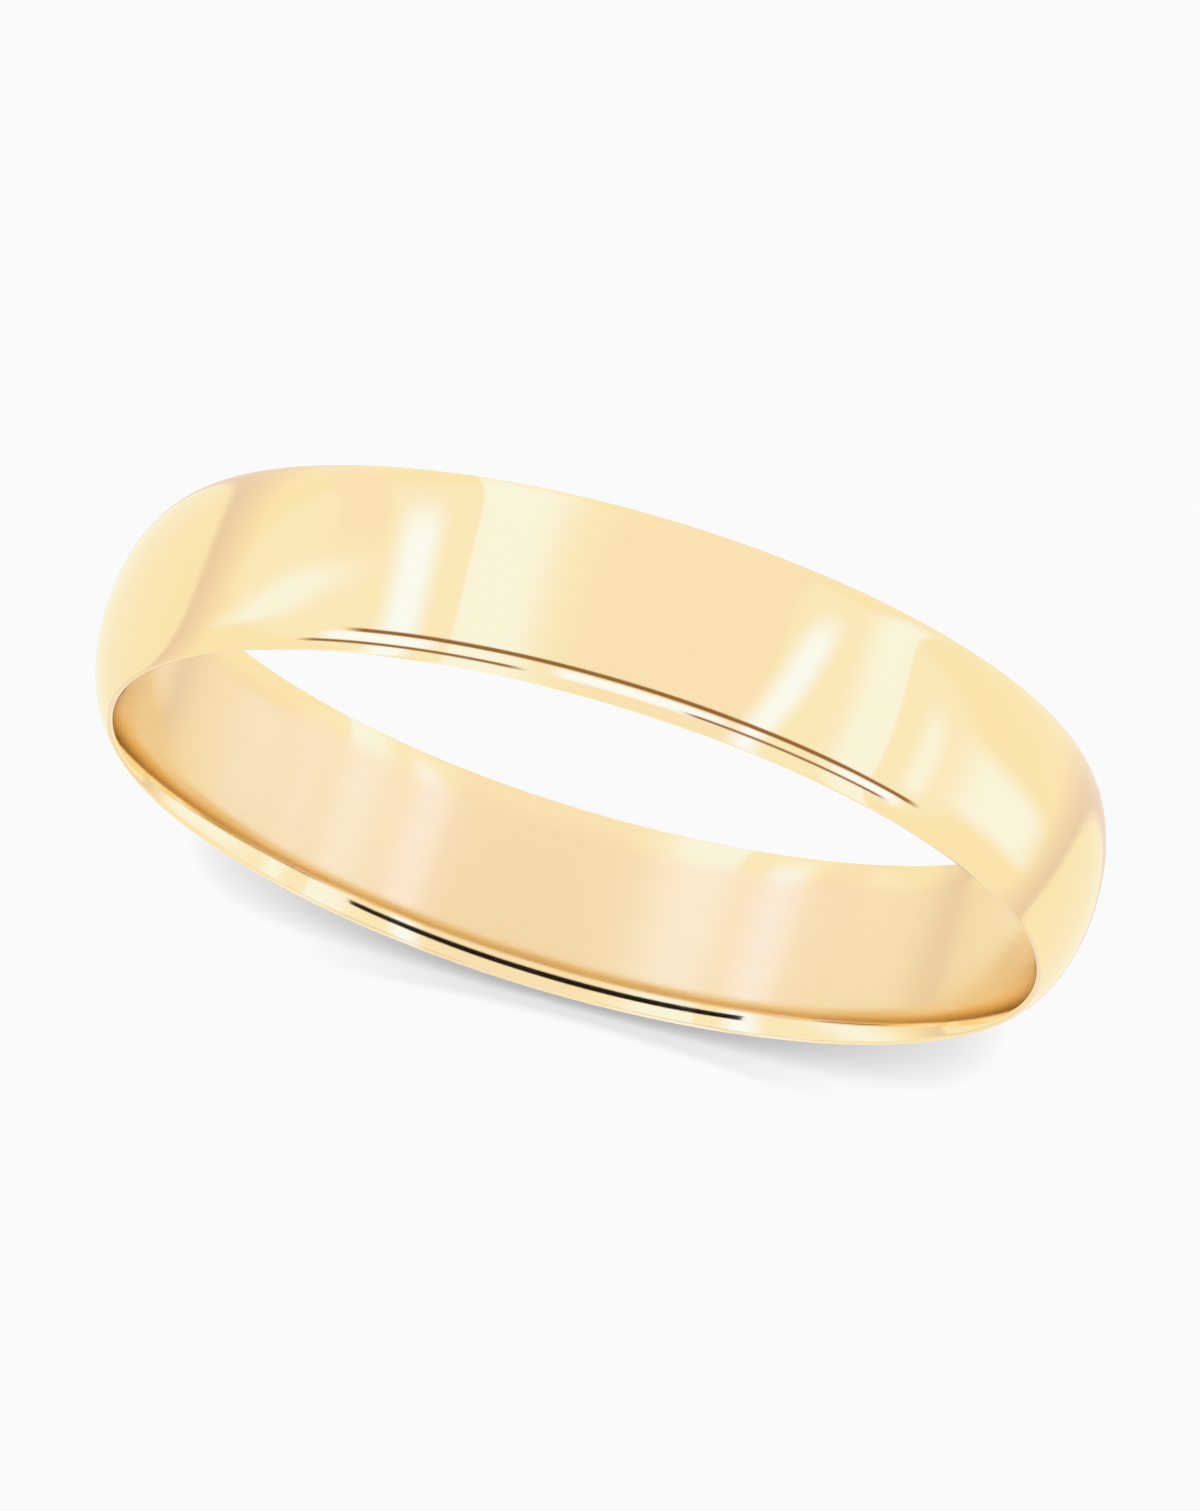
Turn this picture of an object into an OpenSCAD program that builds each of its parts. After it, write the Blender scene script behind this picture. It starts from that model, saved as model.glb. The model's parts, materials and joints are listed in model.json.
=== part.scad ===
// Plain wedding band: one seamless ring of precious metal with a shallow oval
// dome outside, a straight finger hole inside, and edges eased for comfort.
//
// Frame: the origin is the centre of the finger hole, the hole runs along Y,
// and the ring stands on its edge with +Z up, as a wheel does. Millimetres.

/* [Finger hole] */
// Inside diameter; 18.95 is US size 9
bore_d = 18.95; // [14.9:0.05:23]

/* [Band] */
// Width from side to side
band_w = 4.0; // [3.4:0.1:4.6]
// Thickness of the metal at the crown of the dome
crown_t = 0.92; // [0.85:0.01:1.1]

/* [Dome] */
// Height of the dome's oval for its width; 1 is a circle
dome_ratio = 0.488; // [0.3:0.002:0.5]
// Steepness of the dome where the edge rounding takes over, in degrees
edge_lean = 50; // [40:1:60]
// Radius that rounds the dome over the rim into the lip
edge_r = 0.08; // [0.05:0.01:0.15]

/* [Lips] */
// Slope of the eased lip where it meets the rim, in degrees from the finger hole's wall
lip_slope = 21; // [10:1:40]

/* [Hidden] */

// Angle between neighbouring points on the dome, and on the tight rim rounding
dome_step = 2.5;
tight_step = 10;
// Number of steps along each lip
lip_steps = 7;

bore_r = bore_d / 2;
half_w = band_w / 2;
crown_r = bore_r + crown_t;

// Distance from an oval's centre to its tangent at a lean, for a half width of 1
function oval_reach(lean) = sqrt(pow(sin(lean), 2) + pow(dome_ratio * cos(lean), 2));

// The dome is an oval, cut where its surface leans edge_lean and carried on by
// the rim rounding, which just reaches the side of the band
oval_w = (half_w - edge_r * (1 - sin(edge_lean))) * oval_reach(edge_lean) / sin(edge_lean);
oval_h = dome_ratio * oval_w;
oval_r = crown_r - oval_h;

// [radius, place across the band] of the surface where it faces a lean away
// from straight out: 0 is the crown, 90 the side, and more looks into the hole
function dome_point(lean) = [
    oval_r + oval_h * dome_ratio * cos(lean) / oval_reach(lean),
    oval_w * sin(lean) / oval_reach(lean)
];
edge_centre = dome_point(edge_lean) - edge_r * [cos(edge_lean), sin(edge_lean)];
function edge_point(lean) = edge_centre + edge_r * [cos(lean), sin(lean)];

// The lip is one arc that leaves the wall of the hole straight and meets the
// rim rounding at lip_slope
rim = edge_point(180 - lip_slope);
lip_r = (rim[0] - bore_r) / (1 - cos(lip_slope));
wall_half = rim[1] - lip_r * sin(lip_slope);
function lip_point(slope) = [bore_r + lip_r * (1 - cos(slope)), wall_half + lip_r * sin(slope)];

// Half of the section, from the wall of the hole round to the crown
lip_points = [for (i = [0:lip_steps]) lip_point(lip_slope * i / lip_steps)];
edge_points = [for (lean = [180 - lip_slope - tight_step:-tight_step:edge_lean + 1])
    edge_point(lean)];
dome_points = [for (lean = [edge_lean:-dome_step:0]) dome_point(lean)];
half_section = concat(lip_points, edge_points, dome_points);
other_half = [for (i = [len(half_section) - 2:-1:0])
    [half_section[i][0], -half_section[i][1]]];

module band() {
    color("#f3dca6")
    rotate([90, 0, 0])
    rotate_extrude($fn = 180)
    polygon(concat(half_section, other_half));
}

band();
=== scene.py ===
# %% [markdown]
# # A plain wedding band
#
# A wedding band like this one starts as a seamless gold tube. A lathe turns its section, felt and
# rouge polish it to a mirror, and nothing else is added: no stone, no join and no moving part.
# So the whole lesson is about two things that a polished ring lives on, a clean curve and
# something worth reflecting.
#
# The CAD model comes first. It fixes the size and place of everything below.

# %% Load the CAD ring
import json
import math

import bpy
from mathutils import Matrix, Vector


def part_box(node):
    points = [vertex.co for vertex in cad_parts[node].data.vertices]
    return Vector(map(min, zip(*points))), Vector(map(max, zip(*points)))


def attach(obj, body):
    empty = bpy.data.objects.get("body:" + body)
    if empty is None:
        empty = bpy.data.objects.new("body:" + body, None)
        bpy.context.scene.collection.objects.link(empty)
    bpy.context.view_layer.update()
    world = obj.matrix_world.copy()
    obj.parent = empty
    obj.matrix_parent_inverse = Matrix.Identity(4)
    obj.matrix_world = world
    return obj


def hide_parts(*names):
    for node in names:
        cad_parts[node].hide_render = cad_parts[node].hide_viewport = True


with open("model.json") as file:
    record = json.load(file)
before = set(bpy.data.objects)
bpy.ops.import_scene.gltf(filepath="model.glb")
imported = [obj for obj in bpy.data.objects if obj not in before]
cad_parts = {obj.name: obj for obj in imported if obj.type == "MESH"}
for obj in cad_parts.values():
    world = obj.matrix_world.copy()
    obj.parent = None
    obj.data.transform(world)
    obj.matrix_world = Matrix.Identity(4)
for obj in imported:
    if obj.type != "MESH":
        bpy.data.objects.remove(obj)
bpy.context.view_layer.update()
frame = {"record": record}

# %% [markdown]
# ## Real sizes
#
# Blender works in metres here and a ring is measured in millimetres, so one name turns the one
# into the other. The hole's radius comes from the record, where it is the size a finger needs,
# and the crown and the width come from the box of the CAD band.

# %% Sizes of the band
MM = 0.001

hole_mount = frame["record"]["mounts"][0]
band_low, band_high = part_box("band")
bore_r = hole_mount["dims"]["r_mm"]
crown_r = band_high.z / MM
half_w = band_high.y / MM
print(f"hole {2 * bore_r:.2f} mm across, crown radius {crown_r:.3f} mm, width {2 * half_w:.2f} mm")

# %% [markdown]
# ## Camera
#
# The ring stands on its edge like a wheel, and the camera looks down on it steeply from a little
# to the right of the front. It stands about 33 cm off with a long lens, as it would for jewellery:
# close enough to show the ring's far side a little smaller, far enough not to bend it.

# %% Place the camera
AZIMUTH = 15.85
ELEVATION = 71.25
DISTANCE = 331.6
CAMERA_LIFT = 0.09
SENSOR = 36.0
LENS = 393.5

around = math.radians(AZIMUTH)
above = math.radians(ELEVATION)
back = Vector((math.sin(around) * math.cos(above), -math.cos(around) * math.cos(above),
               math.sin(above)))
right = Vector((math.cos(around), math.sin(around), 0.0))
up = back.cross(right)

camera = bpy.data.objects.new("camera", bpy.data.cameras.new("camera"))
camera.data.sensor_width = SENSOR
camera.data.lens = LENS
camera.data.clip_start = 10 * MM
camera.data.clip_end = 10.0
camera.rotation_mode = "QUATERNION"
camera.rotation_quaternion = back.to_track_quat("Z", "Y")
camera.location = (back * DISTANCE + up * CAMERA_LIFT) * MM
bpy.context.scene.collection.objects.link(camera)
bpy.context.scene.camera = camera
print("camera at, mm:", [round(c / MM, 1) for c in camera.location])

# %% [markdown]
# ## Two helpers for every material
#
# Colours are easiest to choose as sRGB hex, the way a picture shows them, but shaders add up light
# and need linear values. The second helper adds one node with its settings and its links, so that
# a material reads as a list of what it does.

# %% Colour and node helpers
def linear(hex_colour, gain=1.0):
    """An sRGB hex colour as linear red, green, blue and alpha, its light times gain."""
    parts = [int(hex_colour[i:i + 2], 16) / 255 for i in (1, 3, 5)]
    light = [p / 12.92 if p <= 0.04045 else ((p + 0.055) / 1.055) ** 2.4 for p in parts]
    return (*[gain * x for x in light], 1.0)


def add_node(tree, kind, settings=None, links=None):
    """Adds a node. settings are its properties, links fill its inputs with a value or a socket."""
    node = tree.nodes.new(kind)
    for name, value in (settings or {}).items():
        setattr(node, name, value)
    for socket, value in (links or {}).items():
        if isinstance(value, bpy.types.NodeSocket):
            tree.links.new(value, node.inputs[socket])
        else:
            node.inputs[socket].default_value = value
    return node


# %% [markdown]
# ## The table
#
# The ring stands on a sheet of matt white card, which catches the soft shadow under the band.
# Reflections leave it out: the room that the gold sees, further down, has a table of its own.

# %% Lay the white card
FLOOR_SIZE = 3.0
CARD_WHITE = "#F4F4F4"

bpy.ops.mesh.primitive_plane_add(size=FLOOR_SIZE, location=(0, 0, band_low.z))
floor = bpy.context.active_object
floor.name = "white_card"

card = bpy.data.materials.new("matt_white_card")
card.use_nodes = True
card.node_tree.nodes.clear()
card_shader = add_node(card.node_tree, "ShaderNodeBsdfDiffuse",
                       links={"Color": linear(CARD_WHITE), "Roughness": 0.0})
add_node(card.node_tree, "ShaderNodeOutputMaterial", links={"Surface": card_shader.outputs[0]})
floor.data.materials.append(card)
floor.visible_glossy = False
print("card at height, mm:", round(floor.location.z / MM, 3))

# %% [markdown]
# ## The studio, as the ring sees it
#
# Polished gold has hardly any look of its own: it shows the room. Jewellery is shown in a tent of
# white cloth with soft boxes behind it. The boxes show as pale upright stripes, the cloth between
# them as warm gold, and the slit that the lens looks through as a thin dark line along the edges
# of the metal. How this room is laid out is a guess, made to suit the stripes on the ring.
#
# The room could be built from glowing cards, but they would show in other views and slow the
# render down. Here it is painted on the world, as a chart of the sky: u counts degrees from
# straight overhead towards the right, v counts them towards the front. Each patch of the chart
# has an edge on four sides, sharp or soft, and is laid over the ones before it.

# %% Make the chart of the sky
world = bpy.data.worlds.new("studio")
world.use_nodes = True
bpy.context.scene.world = world
sky = world.node_tree
sky.nodes.clear()

STRIPE_LEAN = 0.12
FULL_LEAN = 60.0
NEARLY_ZERO = 1e-6


def sky_math(operation, first, second=0.0, third=0.0):
    """One arithmetic step on the sky's chart."""
    return add_node(sky, "ShaderNodeMath", {"operation": operation},
                    {0: first, 1: second, 2: third}).outputs[0]


direction = add_node(sky, "ShaderNodeTexCoord").outputs["Generated"]
axes = add_node(sky, "ShaderNodeSeparateXYZ", links={"Vector": direction})
east = axes.outputs["X"]
north = axes.outputs["Y"]
level = sky_math("MAXIMUM", sky_math("SQRT", sky_math("ADD", sky_math("MULTIPLY", east, east),
                                                      sky_math("MULTIPLY", north, north))), NEARLY_ZERO)
from_zenith = sky_math("DEGREES", sky_math("ARCTAN2", level, axes.outputs["Z"]))
reach = sky_math("DIVIDE", from_zenith, level)
chart_v = sky_math("MULTIPLY", sky_math("MULTIPLY", reach, north), -1.0)
plain_u = sky_math("MULTIPLY", reach, east)
# The boxes on the right run off towards the back, so their edges lean in a little there
lean = sky_math("POWER", sky_math("DIVIDE", sky_math("ABSOLUTE", chart_v), FULL_LEAN), 2.0)
lean = sky_math("MULTIPLY", lean, sky_math("GREATER_THAN", plain_u, 0.0))
chart_u = sky_math("MULTIPLY", plain_u, sky_math("MULTIPLY_ADD", lean, STRIPE_LEAN, 1.0))
# The lower half of the room has a chart of its own, from straight below
below_reach = sky_math("DIVIDE", sky_math("SUBTRACT", 180.0, from_zenith), level)
below_u = sky_math("MULTIPLY", below_reach, east)
below_v = sky_math("MULTIPLY", sky_math("MULTIPLY", below_reach, north), -1.0)


def window(value, low, high, low_soft=0.5, high_soft=0.5):
    """1 between low and high and 0 outside, with a smooth edge of its own width on each side."""
    factor = None
    for edge, soft in ((low, low_soft), (high, -high_soft)):
        step = add_node(sky, "ShaderNodeMapRange", {"interpolation_type": "SMOOTHSTEP"},
                        {"Value": value, "From Min": edge - soft / 2, "From Max": edge + soft / 2})
        factor = step.outputs[0] if factor is None else sky_math("MULTIPLY", factor, step.outputs[0])
    return factor


def lay(under, factor, colour):
    """Lays a colour over the sky painted so far, where factor is 1."""
    return add_node(sky, "ShaderNodeMix", {"data_type": "RGBA"},
                    {0: factor, 6: under, 7: colour}).outputs[2]


def distance_from(u, v):
    """Degrees from a point of the lower chart, which is centred straight below the ring."""
    du = sky_math("SUBTRACT", below_u, u)
    dv = sky_math("SUBTRACT", below_v, v)
    return sky_math("SQRT", sky_math("MULTIPLY_ADD", du, du, sky_math("MULTIPLY", dv, dv)))


# %% [markdown]
# The patches go on from the broad to the small. White here is the light that shows the gold in
# its own colour; a gain above one is a lamp behind the cloth. The cool white of the lamps takes
# some yellow out of the gold, which is why a bright stripe on a gold ring looks nearly white.

# %% Paint the soft boxes and the dark slit
CLOTH = linear("#FFFFFF", 1.03)
CEILING = linear("#FFFBFA")
LAMP = linear("#CDD5FF", 1.85)
DIM_LAMP = linear("#DBE4FF", 1.5)
TABLE = linear("#FFFCF1", 1.02)
TABLE_EDGE = linear("#EFE2E0")
SLIT = linear("#96703F")

ALL_V = (-200, 200)
HORIZON = 92
HORIZON_SOFT = 8

patches = [
    # name, colour, u from and to, lean of u with v, v from and to, soft u edges, soft v edges
    ("left wall", DIM_LAMP, (-82, -64), -0.5, (-10, 30), (16, 16), (20, 16)),
    ("left back corner", CEILING, (-66, -54), 0, (-120, -25), (5, 4), (10, 40)),
    ("left lamp", LAMP, (-50.5, -42), 0, (-48, 200), (7, 6), (45, 1)),
    ("big left box", DIM_LAMP, (-34, -17), 0, (-110, 200), (0.8, 12), (40, 1)),
    ("ceiling", CEILING, (-8, 36), 0, ALL_V, (12, 4), (1, 1)),
    ("right lamp", LAMP, (37, 43.5), -0.1, (-46, 200), (6, 5), (40, 1)),
    ("right box", DIM_LAMP, (55, 66.5), 0, (-100, 200), (9, 0.8), (40, 1)),
    ("right wall", DIM_LAMP, (88, 118), 0, (-30, 20), (16, 14), (20, 22)),
    ("right wall lamp", DIM_LAMP, (74, 80), 0, (-30, 30), (6, 6), (30, 20)),
    ("lens slit", SLIT, (-57, 80), 0, (37, 42), (6, 6), (1.5, 2.0)),
    ("left lens glow", LAMP, (-63, -37), 0, (42, 56), (6, 6), (3, 5)),
    ("middle lens glow", LAMP, (-10, 29), 0, (44, 57), (6, 6), (3, 5)),
    ("right lens glow", LAMP, (59, 76), 0, (42, 57), (6, 6), (3, 5)),
    ("left low slit", SLIT, (-67, -18), 0, (56, 61), (6, 6), (3, 3)),
    ("right low slit", SLIT, (20, 72), 0, (52, 56), (6, 6), (3, 3)),
]

room = lay(CLOTH, window(from_zenith, HORIZON, 200, HORIZON_SOFT), TABLE)
for name, colour, (u_from, u_to), slant, (v_from, v_to), u_soft, v_soft in patches:
    leaning = sky_math("MULTIPLY_ADD", chart_v, -slant, chart_u)
    patch = sky_math("MULTIPLY", window(leaning, u_from, u_to, *u_soft),
                     window(chart_v, v_from, v_to, *v_soft))
    room = lay(room, patch, colour)

# The table's far edge shows as a soft brown line near both ends of the ring
INNER_SOFT = 3
table_edges = [
    # u and v of the middle, radius, fade
    (-43, -8, 31, 16),
    (25, 1, 25, 14),
]
for u, v, radius, fade in table_edges:
    rim_line = window(distance_from(u, v), radius, radius + fade / 2, INNER_SOFT, fade)
    room = lay(room, rim_line, TABLE_EDGE)
print(len(patches), "patches on the sky,", len(table_edges), "edges of the table")

# %% [markdown]
# Only mirror reflections need the painted sky. The card is lit by an even glow instead, and the
# camera looking past the card sees the same pale white, so no view has a horizon in it.

# %% Use the chart for reflections only
GLOW = "#FFFFFF"
GLOW_STRENGTH = 1.32
BACKDROP = "#FAFAFA"

rays = add_node(sky, "ShaderNodeLightPath")
painted = add_node(sky, "ShaderNodeBackground", links={"Color": room, "Strength": 1.0})
glow = add_node(sky, "ShaderNodeBackground",
                links={"Color": linear(GLOW), "Strength": GLOW_STRENGTH})
backdrop = add_node(sky, "ShaderNodeBackground",
                    links={"Color": linear(BACKDROP), "Strength": 1.0})
lit = add_node(sky, "ShaderNodeMixShader", links={0: rays.outputs["Is Glossy Ray"],
                                                  1: glow.outputs[0], 2: painted.outputs[0]})
seen = add_node(sky, "ShaderNodeMixShader", links={0: rays.outputs["Is Camera Ray"],
                                                   1: lit.outputs[0], 2: backdrop.outputs[0]})
add_node(sky, "ShaderNodeOutputWorld", links={"Surface": seen.outputs[0]})
print("glow on the card:", GLOW_STRENGTH)

# %% [markdown]
# ## The section
#
# The turner cuts the section with a form tool. From the hole outwards it is a straight wall, an
# eased lip that slips over the knuckle, a small rounding at the rim, and the long oval of the
# dome. Only half is worked out here; the other half is its mirror image.

# %% Work out half of the section
DOME_RATIO = 0.488
EDGE_LEAN = 50.0
EDGE_R = 0.08
LIP_SLOPE = 21.0


def oval_reach(lean):
    """From an oval's centre to its tangent at a lean, for a half width of one."""
    return math.hypot(math.sin(lean), DOME_RATIO * math.cos(lean))


lean_end = math.radians(EDGE_LEAN)
oval_w = (half_w - EDGE_R * (1 - math.sin(lean_end))) * oval_reach(lean_end) / math.sin(lean_end)
oval_h = DOME_RATIO * oval_w
oval_r = crown_r - oval_h


def dome_point(lean):
    """The dome's radius and place across the band where it leans this far from the crown."""
    return (oval_r + oval_h * DOME_RATIO * math.cos(lean) / oval_reach(lean),
            oval_w * math.sin(lean) / oval_reach(lean))


def edge_point(lean):
    """The same on the small rounding at the rim, which leans past 90 degrees into the hole."""
    centre_r, centre_y = dome_point(lean_end)
    return (centre_r + EDGE_R * (math.cos(lean) - math.cos(lean_end)),
            centre_y + EDGE_R * (math.sin(lean) - math.sin(lean_end)))


# The lip is one arc that leaves the wall straight and meets the rounding at its own slope
lip_end = math.radians(LIP_SLOPE)
rim_r, rim_y = edge_point(math.pi - lip_end)
lip_r = (rim_r - bore_r) / (1 - math.cos(lip_end))
wall_end = rim_y - lip_r * math.sin(lip_end)


def lip_point(slope):
    """The lip's radius and place across the band where it slopes this much out of the hole."""
    return (bore_r + lip_r * (1 - math.cos(slope)), wall_end + lip_r * math.sin(slope))


print(f"oval {oval_w:.3f} x {oval_h:.3f} mm, wall to {wall_end:.3f} mm, lip radius {lip_r:.2f} mm")


def spread(start, end, steps):
    """steps + 1 even values from start to end."""
    return [start + (end - start) * i / steps for i in range(steps + 1)]


wall = [(bore_r, y) for y in spread(0, wall_end, 6)]
lip = [lip_point(slope) for slope in spread(0, lip_end, 24)][1:]
edge = [edge_point(lean) for lean in spread(math.pi - lip_end, lean_end, 16)][1:]
dome = [dome_point(lean) for lean in spread(lean_end, 0, 40)][1:]
half_section = wall + lip + edge + dome
section = half_section + [(r, -y) for r, y in reversed(half_section[1:-1])]
print(len(section), "points round the section")

# %% [markdown]
# ## Turning the band
#
# A polished surface shows every facet, so the section is carried round in many small steps. Each
# face also remembers where it is: u runs round the band and v across its section, both in
# millimetres, so that the polishing marks can follow the turning.

# %% Turn the section into a seamless band
STEPS_ROUND = 560

across = [0.0]
for (r0, y0), (r1, y1) in zip(section, section[1:] + section[:1]):
    across.append(across[-1] + math.hypot(r1 - r0, y1 - y0))

verts = []
for step in range(STEPS_ROUND):
    angle = 2 * math.pi * step / STEPS_ROUND
    for r, y in section:
        verts.append((r * math.cos(angle) * MM, y * MM, r * math.sin(angle) * MM))

count = len(section)
faces = []
for step in range(STEPS_ROUND):
    here = step * count
    there = (step + 1) % STEPS_ROUND * count
    for i in range(count):
        j = (i + 1) % count
        faces.append((here + i, there + i, there + j, here + j))

mesh = bpy.data.meshes.new("turned_band")
mesh.from_pydata(verts, [], faces)
mesh.polygons.foreach_set("use_smooth", [True] * len(faces))

turning = mesh.uv_layers.new(name="turning")
round_mm = 2 * math.pi * crown_r / STEPS_ROUND
corners = []
for step in range(STEPS_ROUND):
    for i in range(count):
        for ahead, along in ((0, i), (1, i), (1, i + 1), (0, i + 1)):
            corners += [(step + ahead) * round_mm, across[along]]
turning.data.foreach_set("uv", corners)
mesh.update()

band = bpy.data.objects.new("polished_band", mesh)
bpy.context.scene.collection.objects.link(band)
print(len(verts), "points,", len(faces), "faces,", round(across[-1], 2), "mm round the section")

# %% [markdown]
# ## Where a point is on the gold
#
# 14 carat yellow gold is gold let down with silver and copper, so it is paler than fine gold.
# Buffing with felt and rouge leaves a mirror outside. The wheel does not reach into the finger
# hole, which is only rubbed to a fine satin, and along the lip the satin passes little by little
# into the mirror. So the material first needs to know how far a point is from the middle of the
# hole's wall, in millimetres along the section.

# %% Make the gold and measure from the middle of the wall
SATIN_ENDS = wall_end + 0.55

gold = bpy.data.materials.new("polished_yellow_gold")
gold.use_nodes = True
tree = gold.node_tree
tree.nodes.clear()

place = add_node(tree, "ShaderNodeTexCoord")
uv = add_node(tree, "ShaderNodeSeparateXYZ", links={"Vector": place.outputs["UV"]})
way_back = add_node(tree, "ShaderNodeMath", {"operation": "SUBTRACT"},
                    {0: across[-1], 1: uv.outputs["Y"]})
from_middle = add_node(tree, "ShaderNodeMath", {"operation": "MINIMUM"},
                       {0: uv.outputs["Y"], 1: way_back.outputs[0]})
shine = add_node(tree, "ShaderNodeMapRange", {"interpolation_type": "SMOOTHSTEP"},
                 {"Value": from_middle.outputs[0], "From Min": wall_end, "From Max": SATIN_ENDS})
print("satin to", round(wall_end, 2), "mm, mirror from", round(SATIN_ENDS, 2), "mm")

# %% [markdown]
# ## The marks of the wheel
#
# Three faint things give real metal away. It carries hairlines that follow the wheel. Its surface
# swims a little, because a soft wheel never leaves it perfectly even. And it has picked up fine
# scuffs. Hairlines need coordinates that run round the band without a join, stretched along the
# turning.
#
# Real hairlines are a few thousandths of a millimetre wide, too fine to show at this distance,
# so they are drawn about 0.03 mm apart.

# %% Lay out the hairlines, the swim and the scuffs
LINE_GAP = 0.03
LINE_STRETCH = 6.0
WAVE_GAP = 2.2
SCUFF_GAP = 0.9

split = add_node(tree, "ShaderNodeSeparateXYZ", links={"Vector": place.outputs["Object"]})
flat = add_node(tree, "ShaderNodeCombineXYZ",
                links={"X": split.outputs["X"], "Y": 0.0, "Z": split.outputs["Z"]})
turned = add_node(tree, "ShaderNodeVectorMath", {"operation": "NORMALIZE"}, {0: flat.outputs[0]})
grown = add_node(tree, "ShaderNodeVectorMath", {"operation": "SCALE"},
                 {0: turned.outputs[0], "Scale": LINE_STRETCH})
rows = add_node(tree, "ShaderNodeMath", {"operation": "MULTIPLY"},
                {0: uv.outputs["Y"], 1: 1 / LINE_GAP})
side = add_node(tree, "ShaderNodeCombineXYZ", links={"Y": rows.outputs[0]})
combing = add_node(tree, "ShaderNodeVectorMath", {"operation": "ADD"},
                   {0: grown.outputs[0], 1: side.outputs[0]})

marks = {}
for name, vector, scale, detail, fineness in (
        ("lines", combing.outputs[0], 1.0, 2.0, 0.6),
        ("waves", place.outputs["Object"], 1 / (WAVE_GAP * MM), 1.0, 0.4),
        ("scuffs", place.outputs["Object"], 1 / (SCUFF_GAP * MM), 6.0, 0.7)):
    noise = add_node(tree, "ShaderNodeTexNoise", {"noise_dimensions": "3D"},
                     {"Vector": vector, "Scale": scale, "Detail": detail, "Roughness": fineness})
    marks[name] = noise.outputs[0]
print("marks:", list(marks))

# %% [markdown]
# ## The finish
#
# The hairlines make the roughness rise and fall between two values, one pair for the satin and
# one for the mirror, and the scuffs add a little more where they are deep. The satin is also a
# shade darker, since its fine grooves swallow some of the light. The relief is a thousandth of a
# millimetre or less, just enough to make reflections waver.

# %% Give the gold its colour, roughness and relief
GOLD = "#FAE4B4"
SATIN_GOLD = "#F5DDB0"
MIRROR_ROUGHNESS = (0.04, 0.07)
SATIN_ROUGHNESS = (0.18, 0.24)
SCUFF = 0.04
SWIM = 0.0006
HAIRLINE = 0.00002

streaks = []
for low, high in (SATIN_ROUGHNESS, MIRROR_ROUGHNESS):
    streaks.append(add_node(tree, "ShaderNodeMapRange", {},
                            {"Value": marks["lines"], "From Min": 0.3, "From Max": 0.7,
                             "To Min": low, "To Max": high}).outputs[0])
finish = add_node(tree, "ShaderNodeMix", {"data_type": "FLOAT"},
                  {0: shine.outputs[0], 2: streaks[0], 3: streaks[1]})
worn = add_node(tree, "ShaderNodeMapRange", {"interpolation_type": "SMOOTHSTEP"},
                {"Value": marks["scuffs"], "From Min": 0.55, "From Max": 0.75,
                 "To Min": 0.0, "To Max": SCUFF})
roughness = add_node(tree, "ShaderNodeMath", {"operation": "ADD", "use_clamp": True},
                     {0: finish.outputs[0], 1: worn.outputs[0]})
tint = add_node(tree, "ShaderNodeMix", {"data_type": "RGBA"},
                {0: shine.outputs[0], 6: linear(SATIN_GOLD), 7: linear(GOLD)})

swell = add_node(tree, "ShaderNodeBump", {},
                 {"Strength": 1.0, "Distance": SWIM * MM, "Height": marks["waves"]})
combed = add_node(tree, "ShaderNodeBump", {},
                  {"Strength": 1.0, "Distance": HAIRLINE * MM, "Height": marks["lines"],
                   "Normal": swell.outputs[0]})
shader = add_node(tree, "ShaderNodeBsdfPrincipled", {},
                  {"Base Color": tint.outputs[2], "Metallic": 1.0,
                   "Roughness": roughness.outputs[0], "Normal": combed.outputs[0]})
add_node(tree, "ShaderNodeOutputMaterial", links={"Surface": shader.outputs[0]})
band.data.materials.append(gold)
print("gold:", len(tree.nodes), "nodes")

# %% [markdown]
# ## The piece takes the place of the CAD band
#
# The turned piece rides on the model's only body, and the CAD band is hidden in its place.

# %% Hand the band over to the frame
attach(band, "root")
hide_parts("band")

# %% [markdown]
# ## A black flag for the lip
#
# Jewellers hold a strip of black card in front of the hole, out of the picture, so that the eased
# lip picks up one dark line. It gives the soft gold a hard accent and shows how the lip is
# shaped. It lies flat, so that the lip sees its face and the wall of the hole little but its edge.
# Only mirror reflections see it.

# %% Hold the black flag in front of the hole
FLAG_LEFT, FLAG_RIGHT = -7.0, 8.0
FLAG_FRONT, FLAG_BACK = -4.35, -3.07
FLAG_HEIGHT = 1.0
FLAG_BLACK = "#1E150C"

flag_mesh = bpy.data.meshes.new("black_flag")
flag_mesh.from_pydata([(x * MM, y * MM, FLAG_HEIGHT * MM) for x, y in
                       ((FLAG_LEFT, FLAG_FRONT), (FLAG_RIGHT, FLAG_FRONT),
                        (FLAG_RIGHT, FLAG_BACK), (FLAG_LEFT, FLAG_BACK))], [], [(0, 1, 2, 3)])
flag = bpy.data.objects.new("black_flag", flag_mesh)
bpy.context.scene.collection.objects.link(flag)

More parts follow.
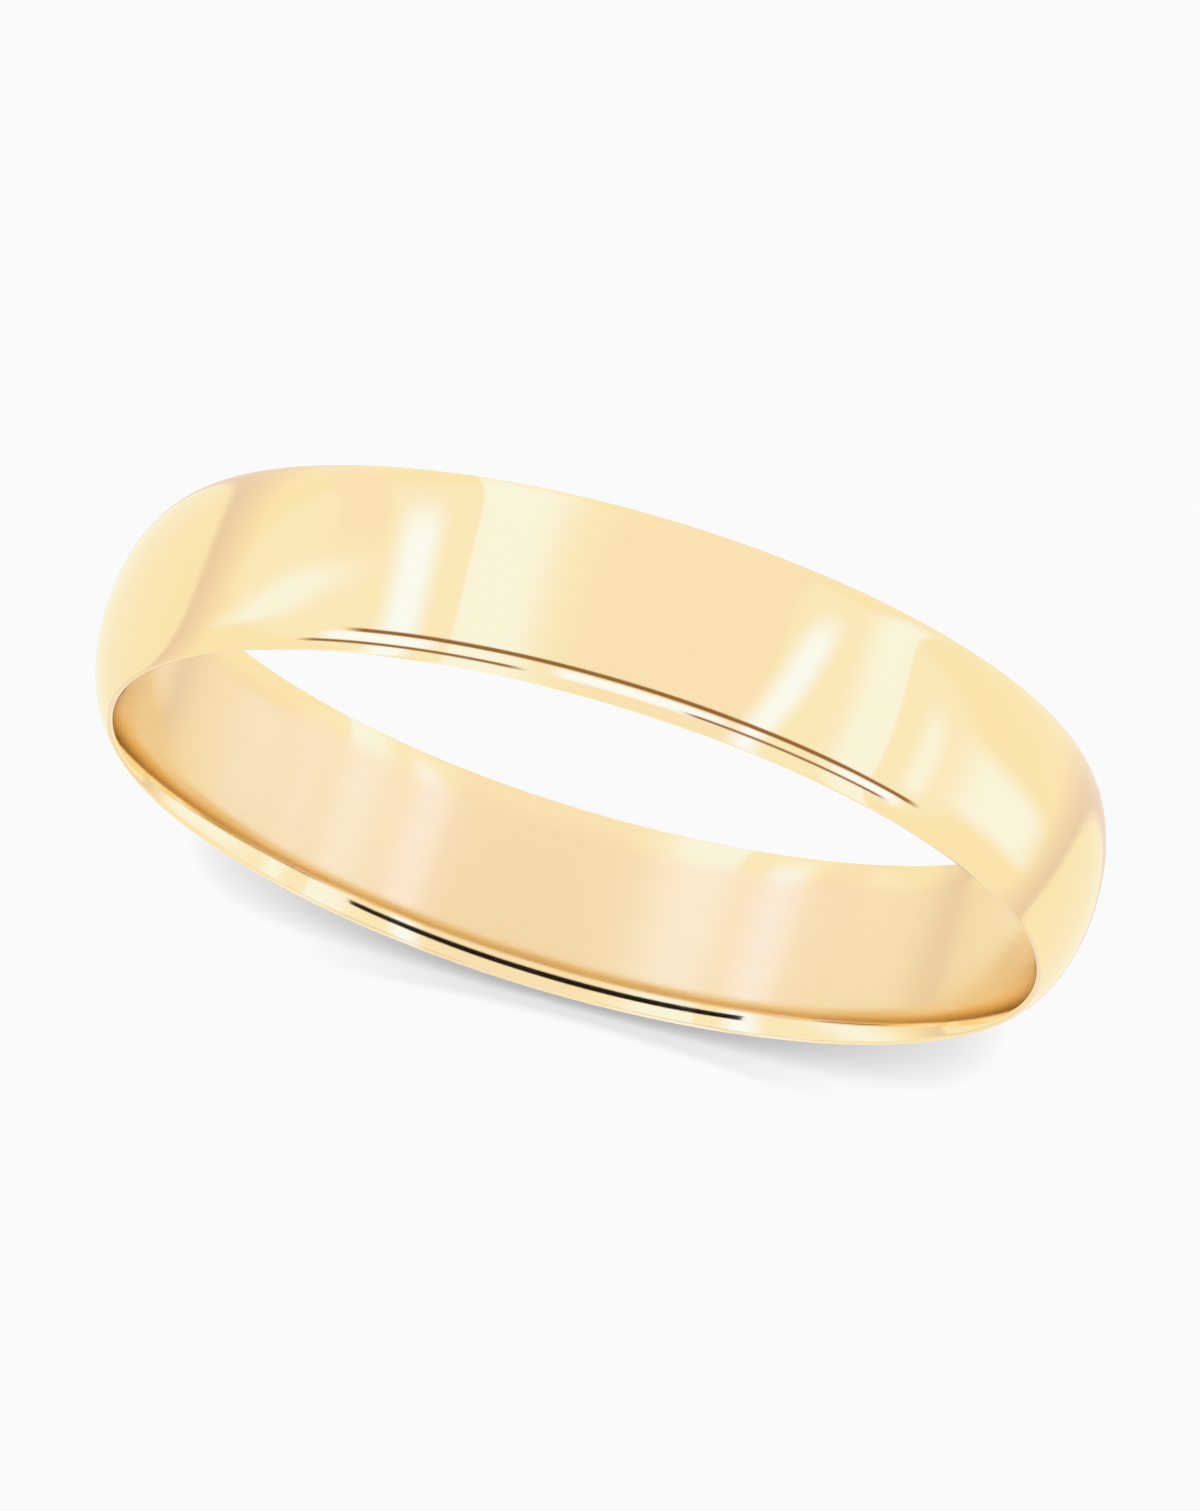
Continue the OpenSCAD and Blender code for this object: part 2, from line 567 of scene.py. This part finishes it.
black = bpy.data.materials.new("black_card")
black.use_nodes = True
black.node_tree.nodes.clear()
black_light = add_node(black.node_tree, "ShaderNodeEmission",
                       links={"Color": linear(FLAG_BLACK), "Strength": 1.0})
add_node(black.node_tree, "ShaderNodeOutputMaterial", links={"Surface": black_light.outputs[0]})
flag_mesh.materials.append(black)
flag.visible_camera = False
flag.visible_diffuse = False
flag.visible_shadow = False
print("flag", FLAG_RIGHT - FLAG_LEFT, "x", round(FLAG_BACK - FLAG_FRONT, 2), "mm")

# %% [markdown]
# ## Light for the shadow
#
# A lamp overhead, a little behind the ring, presses a soft grey shadow against its near side. It
# is left out of the reflections, because the painted sky already holds the boxes. The light that
# polished metal throws back onto the card is left out too, as it would be a bright speckle.

# %% Hang the lamp
TO_BACK = 3.0
SHARE = 0.45
SOFTNESS = 34.0

light = bpy.data.lights.new("overhead_soft_lamp", "SUN")
light.angle = math.radians(SOFTNESS)
towards = Vector((0.0, math.tan(math.radians(TO_BACK)), 1.0)).normalized()
light.energy = SHARE * math.pi / towards.z
lamp = bpy.data.objects.new("overhead_soft_lamp", light)
lamp.rotation_mode = "QUATERNION"
lamp.rotation_quaternion = towards.to_track_quat("Z", "Y")
lamp.visible_glossy = False
bpy.context.scene.collection.objects.link(lamp)
bpy.context.scene.cycles.caustics_reflective = False
print("lamp gives", round(light.energy, 2), "watts a square metre")

# %% [markdown]
# ## The white of the print
#
# The card gets more light than a picture can hold, so that only the deep part of the shadow is
# left, close to the metal. A curve on the finished picture holds every white at the pale grey of
# a catalogue page instead of letting it burn out.

# %% Hold the whites
PAGE_WHITE = linear("#FAFAFA")[0]

view = bpy.context.scene.view_settings
view.view_transform = "Standard"
view.use_curve_mapping = True
view.curve_mapping.extend = "HORIZONTAL"
tone = view.curve_mapping.curves[3]
tone.points[1].location = (1.0, PAGE_WHITE)
shoulder = tone.points.new(PAGE_WHITE, PAGE_WHITE)
for point in tone.points:
    point.handle_type = "VECTOR"
view.curve_mapping.update()
print("whites end at", round(PAGE_WHITE, 3))
